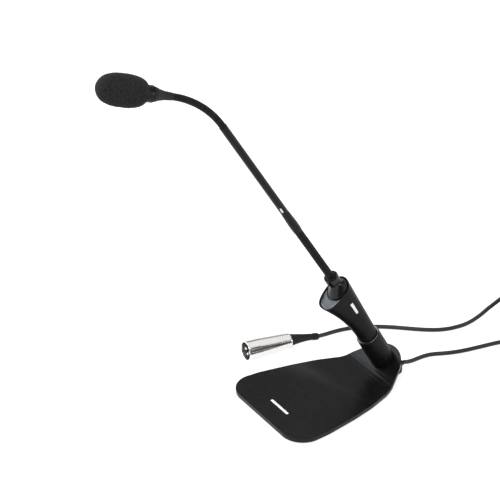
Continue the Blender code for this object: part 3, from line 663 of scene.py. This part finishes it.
def housing_section(height, inset=0.0, count=96):
    """Points (x, y) round the housing at a height; the front is at -Y."""
    rise = max(0.0, height - FLARE_START) / (LIP_H - 0.3 * LIP_FRONT - FLARE_START)
    grow = max(0.0, height - FLARE_START) / (LIP_H - FLARE_START)
    half = HOUSING_R + (LIP_HALF - HOUSING_R) * grow ** 1.3 - inset
    front = HOUSING_R + (LIP_FRONT - HOUSING_R) * rise ** FRONT_POWER - inset
    rear = HOUSING_R + (LIP_REAR - HOUSING_R) * grow - inset
    power = 2.0 / (2.0 + (LIP_FULLNESS - 2.0) * min(1.0, rise))
    points = []
    for i in range(count):
        c = cos(2 * pi * i / count)
        s = sin(2 * pi * i / count)
        if s >= 0:
            points.append((half * c, rear * s))
        else:
            x = half * abs(c) ** power * (1 if c >= 0 else -1)
            points.append((x, -front * abs(s) ** power))
    return points


def make_housing():
    """The flared shell, cut at the tilted lip, with a wall and a softly rounded rim."""
    low = span("preamp_housing", STEM)[0]
    step = 1.6
    above = 142.0                   # higher than the lip all round
    heights = [low + step * i for i in range(int((above - low) / step))]
    bm = bmesh.new()
    lofted(bm, [[(x * MM, y * MM, h * MM) for x, y in housing_section(h)] for h in heights], False)
    normal = Vector((0, -sin(LIP_TILT), cos(LIP_TILT)))
    geometry = list(bm.verts) + list(bm.edges) + list(bm.faces)
    bmesh.ops.bisect_plane(bm, geom=geometry, plane_co=(0, 0, LIP_H * MM), plane_no=normal,
                           clear_outer=True)
    shell = piece("housing_shell", bm, STEM, "housing_plastic", "root", ["preamp_housing"])
    wall = shell.modifiers.new("wall", "SOLIDIFY")
    wall.thickness = WALL * MM
    wall.offset = -1.0
    rim = shell.modifiers.new("rim", "BEVEL")
    rim.width = 0.35 * MM
    rim.segments = 3
    rim.limit_method = "ANGLE"
    rim.angle_limit = radians(55)


def make_cone():
    """The polished cone and collar that hold the neck, with its foot leaned to the lip."""
    _, top, foot_r = span("neck_cone", STEM)
    floor = LIP_H - 1.8
    waist = 5.6
    corners = [
        (5.7, top - 0.2), (5.9, top, 0.15), (6.4, top, 0.3), (6.7, top - 0.5, 0.3), (6.7, top - 6.0, 0.5),
        (waist + 0.2, top - 7.4, 1.0), (waist, LIP_H + 8.6, 4.0), (waist + 0.4, LIP_H + 6.6, 6.0),
        (6.9, LIP_H + 4.6, 6.0), (8.2, LIP_H + 2.4, 4.0), (foot_r, LIP_H + 0.5, 0.4),
        (foot_r, floor), (4.3, floor), (4.3, top - 6.5), (5.7, top - 6.2),
    ]
    bm = spun(corners, True, 80)
    shoulder = top - 7.0
    for v in bm.verts:
        fade = min(1.0, max(0.0, (shoulder - v.co.z / MM) / (shoulder - LIP_H)))
        if v.co.xy.length > 5.0 * MM:
            grow = 1 + (FOOT_R / foot_r - 1) * fade ** 2
            v.co.x *= grow
            v.co.y = v.co.y * grow - FOOT_SHIFT * MM * fade ** 2
        v.co.z += v.co.y * tan(LIP_TILT) * fade
    return piece("cone_and_collar", bm, STEM, "cone_plastic", "root", ["neck_cone"])


def make_petal():
    """The mute button: a crescent with a rolled rim and a faintly dished face."""
    low, high, _ = span("mute_button", LIP)
    clear = WALL + 0.3
    half = LIP_HALF - clear
    front = (LIP_FRONT + 0.6) / cos(LIP_TILT) - clear
    core = FOOT_R + 0.3
    horn = 6.5
    outer = []
    inner = []
    count = 60
    for i in range(count + 1):
        angle = pi * i / count
        c = cos(angle)
        s = sin(angle)
        power = 2.0 / LIP_FULLNESS
        x = -half * abs(c) ** power * (1 if c >= 0 else -1)
        y = -front * s ** power
        reach = sqrt(max(0.0, core ** 2 - min(core, abs(x)) ** 2)) + FOOT_SHIFT
        outer.append((x, y))
        inner.append((x, min(-horn, -reach)))
    bm = bmesh.new()
    rings = []
    across = 10
    for height, drop in ((high, 1.0), (low, 0.0)):
        sheet = []
        for (x, far), (_, near) in zip(outer, inner):
            far = min(far, near - 0.02)
            row = []
            for k in range(across + 1):
                t = k / across
                y = near + (far - near) * t
                edge = min(t, 1 - t) * abs(far - near)
                side = (half - abs(x))
                soft = min(1.0, min(edge, side) / 0.7)
                roll = 0.45 * (1 - sqrt(max(0.0, 1 - (1 - soft) ** 2)))
                dish = 0.25 * sin(pi * t) * min(1.0, side / 4.0)
                row.append(bm.verts.new((x * MM, y * MM, (height - drop * (roll + dish)) * MM)))
            sheet.append(row)
        for first, second in zip(sheet, sheet[1:]):
            for k in range(across):
                bm.faces.new((first[k], first[k + 1], second[k + 1], second[k]))
        rings.append(border_of(sheet))
    sewn(bm, *rings)
    bmesh.ops.remove_doubles(bm, verts=bm.verts, dist=0.00001)
    return piece("mute_petal", bm, LIP, "button_plastic", "button", ["mute_button"], 50.0)


# ---------------------------------------------------------------- gooseneck

def make_skin(name, path, radius, reach, bodies, replaced):
    """One joint's stretch of ribbed flex, from mid-link to mid-link."""
    start, end = reach
    pitch = 1.15
    steps = max(8, round((end - start) / pitch) * 5)
    sides = 28
    bm = bmesh.new()
    rings = []
    for i in range(steps + 1):
        length = start + (end - start) * i / steps
        phase = (i % 5) / 5
        size = radius - 0.34 * abs(cos(pi * phase)) ** 3
        place = path(length)
        ring = [place @ Vector((size * MM * cos(2 * pi * k / sides), size * MM * sin(2 * pi * k / sides), 0))
                for k in range(sides)]
        rings.append(ring)
    lofted(bm, rings)
    skin = piece(name, bm, Matrix.Identity(4), "neck_paint", None, replaced, 80.0)
    first, second = bodies
    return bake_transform(skin, first, second, start=path(start).translation, end=path(end).translation)


def make_flex(name, path, radius, first, ends, bodies, replaced):
    """A whole flex: six skins over the joints between seven bodies."""
    joints = [first + LINK * i for i in range(6)]
    marks = [ends[0]] + [(a + b) / 2 for a, b in zip(joints, joints[1:])] + [ends[1]]
    for i in range(6):
        pair = (bodies[i], bodies[i + 1])
        make_skin(f"{name}_skin_{i + 1}", path, radius, (marks[i], marks[i + 1]), pair, replaced[i])


def make_neck():
    """Grommet, lower flex, ferrule, rigid tube and upper flex."""
    grommet_low, grommet_high, grommet_r = span("neck_grommet", NECK)
    lower_r = span("lower_flex_3", NECK)[2]
    corners = [
        (lower_r + 0.3, grommet_high), (4.6, grommet_high, 0.3), (grommet_r, grommet_high - 0.7, 0.4),
        (grommet_r, grommet_low), (lower_r + 0.3, grommet_low),
    ]
    turned("grommet", corners, NECK, "rubber", "root", ["neck_grommet"], closed=True)
    links = [[f"lower_flex_{i}"] for i in range(1, 6)]
    make_flex("lower", lower_line, lower_r + 0.05, LOWER_FIRST, (-4.0, LOWER_LENGTH + 0.4),
              ["root"] + [f"lower_{i}" for i in range(1, 6)] + ["tube"], [["flex_root"]] + links)

    _, ferrule_top, ferrule_r = span("flex_ferrule", NECK)
    tube_r = span("rigid_tube", NECK)[2]
    corners = [
        (0, ferrule_top), (tube_r + 0.15, ferrule_top, 0.12), (tube_r + 0.3, ferrule_top - 4.0, 10.0),
        (ferrule_r, ferrule_top - 15.0, 12.0), (ferrule_r, ferrule_top - 22.0, 12.0),
        (lower_r + 0.35, LOWER_LENGTH, 0.25), (0, LOWER_LENGTH),
    ]
    turned("ferrule", corners, NECK, "neck_paint", "tube", ["flex_ferrule"])
    corners = [
        (0, TUBE_TOP), (tube_r - 0.4, TUBE_TOP, 0.1), (tube_r, TUBE_TOP - 0.6, 0.2),
        (tube_r, ferrule_top + 0.2), (0, ferrule_top + 0.2),
    ]
    turned("tube", corners, NECK, "neck_paint", "tube", ["rigid_tube"])
    links = [[f"upper_flex_{i}"] for i in range(1, 6)]
    make_flex("upper", upper_arc, UPPER_R, UPPER_FIRST, (-0.6, UPPER_LENGTH + 0.6),
              ["tube"] + [f"upper_{i}" for i in range(1, 6)] + ["head"], [[]] + links)


# ---------------------------------------------------------------- head

def make_boot():
    """The concave rubber boot behind the capsule holder."""
    _, high, wide = span("capsule_boot", HEAD)
    corners = [
        (0, high), (wide, high, 0.3), (wide - 0.4, high - 2.0, 2.0), (4.9, 12.5, 20.0),
        (3.9, 7.5, 20.0), (3.5, 2.0, 6.0), (3.45, 0.0, 0.15), (0, 0.0),
    ]
    return turned("boot", corners, HEAD, "rubber", "head", ["capsule_boot"])


def make_holder():
    """The ring that holds the capsule, with rounded shoulders and a fine groove."""
    low, high, wide = span("capsule_holder", HEAD)
    bore = span("capsule", HEAD)[2] + 0.3
    corners = [
        (bore, high), (wide - 0.4, high, 0.2), (wide, high - 0.6, 0.4), (wide, low + 2.4, 0.1),
        (wide - 0.25, low + 2.3, 0.05), (wide - 0.25, low + 1.9, 0.05), (wide, low + 1.8, 0.1),
        (wide, low + 0.7, 0.4), (wide - 0.5, low, 0.2), (bore, low),
    ]
    return turned("holder", corners, HEAD, "neck_paint", "head", ["capsule_holder"], closed=True)


def foam_radius(u, wide, length, mouth):
    """Radius and height of the foam's outside, for u from its open end (0) to its tip (1)."""
    widest = 0.44
    if u < widest:
        t = 1 - u / widest
        return mouth + (wide - mouth) * sqrt(max(0.0, 1 - t ** 2.2)), u * length
    angle = (u - widest) / (1 - widest) * pi / 2
    radius = wide * cos(angle) ** 0.87 if u < 1 else 0.0
    return radius, (widest + (1 - widest) * sin(angle) ** 0.72) * length


def make_foam():
    """The foam windscreen: a hollow egg of open-cell foam with a softly lumpy skin."""
    low, high, wide = span("windscreen", HEAD)
    wide -= 0.15
    length = high - low - 0.1
    mouth = 7.9
    bore = span("capsule", HEAD)[2] + 0.3
    deep = span("capsule_grille", HEAD)[1] + 0.4
    outer = []
    steps = 84
    for i in range(steps + 1):
        radius, height = foam_radius(i / steps, wide, length, mouth)
        outer.append((radius, low + height))
    profile = [(0, deep), (bore - 1.6, deep), (bore, deep - 2.0), (bore, low + 20.0), (bore, low + 0.6),
               (bore + 0.4, low), (mouth - 0.5, low)] + outer[1:]
    bm = bmesh.new()
    sides = 128
    rings = []
    for radius, height in profile[1:-1]:
        rings.append([(radius * MM * cos(2 * pi * k / sides), radius * MM * sin(2 * pi * k / sides),
                       height * MM) for k in range(sides)])
    lofted(bm, rings)
    bm.normal_update()
    for v in bm.verts:
        if v.co.xy.length > (bore + 0.2) * MM or v.co.z > (deep + 1.0) * MM:
            coarse = noise.noise(v.co / (5.0 * MM)) * 0.16
            fine = noise.noise(v.co / (0.95 * MM)) * 0.17
            v.co += v.normal * (coarse + fine - 0.1) * MM
    windscreen = piece("foam_windscreen", bm, HEAD, "foam", "foam", ["windscreen"], 180.0)


# ---------------------------------------------------------------- plug

def make_plug():
    """The three-pin plug: shell, insert, pins and the concave rubber boot."""
    wide = PLUG_R
    narrow = PLUG_REAR_R
    length = PLUG_LENGTH
    sag = atan((wide - narrow) / length)
    front = Vector((*PLUG_FRONT, wide * cos(sag) + PLUG_STRAIGHT * sin(sag)))
    place = Matrix.Translation(front * MM)
    place = place @ Matrix.Rotation(PLUG_YAW, 4, "Z") @ Matrix.Rotation(-pi / 2 - sag, 4, "X")
    corners = [
        (0, length), (narrow - 0.2, length, 0.5), (narrow, length - 1.0, 0.4), (wide - 0.3, 20.0, 30.0),
        (wide, PLUG_STRAIGHT, 20.0), (wide, 0.0, 0.35), (PLUG_BORE, 0.0, 0.3), (PLUG_BORE, PLUG_DEPTH),
        (0, PLUG_DEPTH),
    ]
    shell = turned("plug_sleeve", corners, place, "nickel", "root", ["plug_shell"], 96)
    corners = [(0, 18.7), (8.3, 18.7), (8.3, 13.0, 0.2), (7.6, 13.0, 0.1), (7.6, 13.5, 0.1),
               (5.9, 13.5, 0.1), (5.9, 12.9, 0.2), (0, 12.9)]
    insert = turned("plug_core", corners, place, "insert_plastic", "root", ["plug_insert"])
    pins = []
    for i, (x, y) in enumerate(((-PIN_CIRCLE, 0.0), (PIN_CIRCLE, 0.0), (0.0, PIN_CIRCLE))):
        corners = [(0, 15.2), (1.2, 15.2), (1.2, 2.6, 0.5), (0.7, 1.8, 0.3), (0, 1.8)]
        at = place @ Matrix.Translation((x * MM, y * MM, 0))
        pins.append(turned(f"pin_{i + 1}", corners, at, "nickel", "root", [f"plug_pin_{i + 1}"], 24))
    boot = make_plug_boot(front, sag, length)
    return [shell, insert, boot] + pins


def make_plug_boot(front, sag, length):
    """The plug's boot: concave, bent to the cable, with a small collar at its end."""
    ahead = Vector((-sin(PLUG_YAW), cos(PLUG_YAW), -tan(sag)))
    rear = front + ahead * (length * cos(sag) + 0.15)
    first = Vector(PLUG_ROUTE[0])
    end = first + (first - Vector(PLUG_ROUTE[1])).normalized() * 0.1
    lead = (end - rear).normalized()
    side = lead.cross(Vector((0, 0, 1))).normalized()
    up = side.cross(lead)
    wide_end = 6.2
    narrow_end = 3.1
    collar = 3.45
    arch = 0.5
    bm = bmesh.new()
    sides = 48
    steps = 40
    rings = []
    for i in range(steps + 1):
        t = i / steps
        spine = rear.lerp(end, t) + Vector((0, 0, arch * sin(pi * t)))
        radius = wide_end + (narrow_end - wide_end) * sin(pi / 2 * min(1.0, t / 0.9)) ** 0.9
        if t > 0.8:
            radius = collar - 0.4 * max(0.0, (t - 0.94) / 0.06) ** 3
        rings.append([(spine + (side * cos(2 * pi * k / sides) + up * sin(2 * pi * k / sides)) * radius) * MM
                      for k in range(sides)])
    lofted(bm, rings)
    return piece("plug_strain_boot", bm, Matrix.Identity(4), "rubber", "root", ["plug_boot"])


# ---------------------------------------------------------------- small parts

def make_plate_mark():
    """A plain printed bar near the plate's front edge."""
    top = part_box("base_plate")[0].z / MM + PLATE_T
    half = 13.5
    deep = 1.3
    ends = [(half, -deep, 0.9), (half, deep, 0.9), (-half, deep, 0.9), (-half, -deep, 0.9)]
    bm = bmesh.new()
    prism(bm, filleted(ends, True), -0.02, 0.05)
    place = Matrix.Translation(Vector((0.7, -117.6, top)) * MM)
    return piece("plate_bar", bm, place, "print_white", "root")


def wrapped_bar(name, place, outline_at, heights, angles, body):
    """A thin printed bar that lies on a curved side, between two heights and two angles."""
    bm = bmesh.new()
    rings = []
    for rise in (0.05, -0.05):
        sheet = []
        for i in range(9):
            height = heights[0] + (heights[1] - heights[0]) * i / 8
            row = []
            for k in range(7):
                angle = angles[0] + (angles[1] - angles[0]) * k / 6
                x, y = outline_at(height, angle, rise)
                row.append(bm.verts.new((x * MM, y * MM, height * MM)))
            sheet.append(row)
        for first, second in zip(sheet, sheet[1:]):
            for k in range(6):
                bm.faces.new((first[k], first[k + 1], second[k + 1], second[k]))
        rings.append(border_of(sheet))
    sewn(bm, *rings)
    return piece(name, bm, place, "print_white", body)


def housing_side(height, angle, rise):
    """A point of the housing's outside at an angle from +X, raised off the surface."""
    count = 360
    return housing_section(height, -rise, count)[round(angle) % count]


def make_side_bars():
    """Plain printed bars on the housing's side and on the neck's tube."""
    wrapped_bar("housing_bar", STEM, housing_side, (98.0, 113.0), (358, 367), "root")
    tube_r = span("rigid_tube", NECK)[2]

    def tube_side(height, angle, rise):
        turn = radians(angle)
        return (tube_r + rise) * cos(turn), (tube_r + rise) * sin(turn)

    wrapped_bar("tube_bar", NECK, tube_side, (100.5, 106.0), (315, 339), "tube")


def dress_nodes():
    """Give every CAD node that stays in view its own procedural material."""
    slots = {}
    for entry in frame["record"]["materials"]:
        for node in entry.get("nodes", []):
            slots[node] = entry["slot"]
    for name, node in frame["nodes"].items():
        if node.hide_render:
            continue
        slot = slots.get(name) or node.data.materials[0].name.split(".")[0]
        node.data.materials.clear()
        node.data.materials.append(material("black_steel" if name == "stem_set_screw" else slot))


# ---------------------------------------------------------------- studio

def emitter(name, size, place, aim, power, colour=(1, 1, 1)):
    """A rectangular softbox that faces a point."""
    lamp = bpy.data.lights.new(name, "AREA")
    lamp.shape = "RECTANGLE"
    lamp.size, lamp.size_y = size
    lamp.energy = power
    lamp.color = colour
    obj = bpy.data.objects.new(name, lamp)
    obj.location = place
    obj.rotation_euler = (Vector(aim) - Vector(place)).to_track_quat("-Z", "Y").to_euler()
    bpy.context.scene.collection.objects.link(obj)


def make_floor():
    """A plain white floor that glows a little, so that soft shadows fade out as in a light tent."""
    bm = bmesh.new()
    bmesh.ops.create_circle(bm, cap_ends=True, segments=64, radius=14.0)
    mesh = bpy.data.meshes.new("floor")
    bm.to_mesh(mesh)
    bm.free()
    made, tree, shader = shader_of("floor", Roughness=0.9, Specular_IOR_Level=0.0)
    vector = object_coordinates(tree)
    tint = tinted(tree, noise_of(tree, vector, 400.0), grey(0.36), grey(0.38))
    tree.links.new(tint, shader.inputs["Base Color"])
    shader.inputs["Emission Color"].default_value = (1, 1, 1, 1)
    shader.inputs["Emission Strength"].default_value = 0.8
    mesh.materials.append(made)
    floor = bpy.data.objects.new("floor", mesh)
    floor.location = (0, 0, -0.0003)
    bpy.context.scene.collection.objects.link(floor)


def make_studio():
    """Softboxes, and a room that is pale at the horizon and dim above it."""
    emitter("overhead", (4.2, 3.9), (0.2, 0.15, 2.0), (0.2, 0.15, 0), 40.0)
    emitter("ramp_panel", (0.8, 0.9), (-2.2, -0.62, 1.95), (0, 0, 0), 7.0, (0.80, 0.90, 1.0))
    emitter("left_panel", (1.3, 1.0), (-1.55, -0.98, 0.78), (0, -0.1, 0), 34.0, (0.92, 0.96, 1.0))
    emitter("right_strip", (0.4, 1.0), (1.40, 1.38, 0.45), (0, -0.15, 0.3), 9.0)
    emitter("cone_lamp", (0.3, 0.3), (0.61, -0.88, 1.34), (0, -0.06, 0.11), 14.0)
    world = bpy.data.worlds.new("room")
    world.use_nodes = True
    tree = world.node_tree
    background = tree.nodes["Background"]
    source = tree.nodes.new("ShaderNodeTexCoord")
    split = tree.nodes.new("ShaderNodeSeparateXYZ")
    tree.links.new(source.outputs["Generated"], split.inputs["Vector"])
    low = tinted(tree, split.outputs["X"], grey(0.9), grey(0.02), 0.0, 0.35)
    high = tinted(tree, split.outputs["Z"], grey(0.0), grey(1.0), 0.22, 0.42)
    mix = tree.nodes.new("ShaderNodeMix")
    mix.data_type = "RGBA"
    mix.inputs["B"].default_value = (*grey(0.26), 1)
    tree.links.new(high, mix.inputs["Factor"])
    tree.links.new(low, mix.inputs["A"])
    tree.links.new(mix.outputs["Result"], background.inputs["Color"])
    background.inputs["Strength"].default_value = 1.0
    bpy.context.scene.world = world
    bpy.context.scene.view_settings.view_transform = "Standard"


make_camera()
plug_pieces = make_plug()
make_cable(plug_pieces + [make_tie()])
make_plate()
make_housing()
make_cone()
make_petal()
make_neck()
make_boot()
make_holder()
make_foam()
make_plate_mark()
make_side_bars()
dress_nodes()
make_floor()
make_studio()
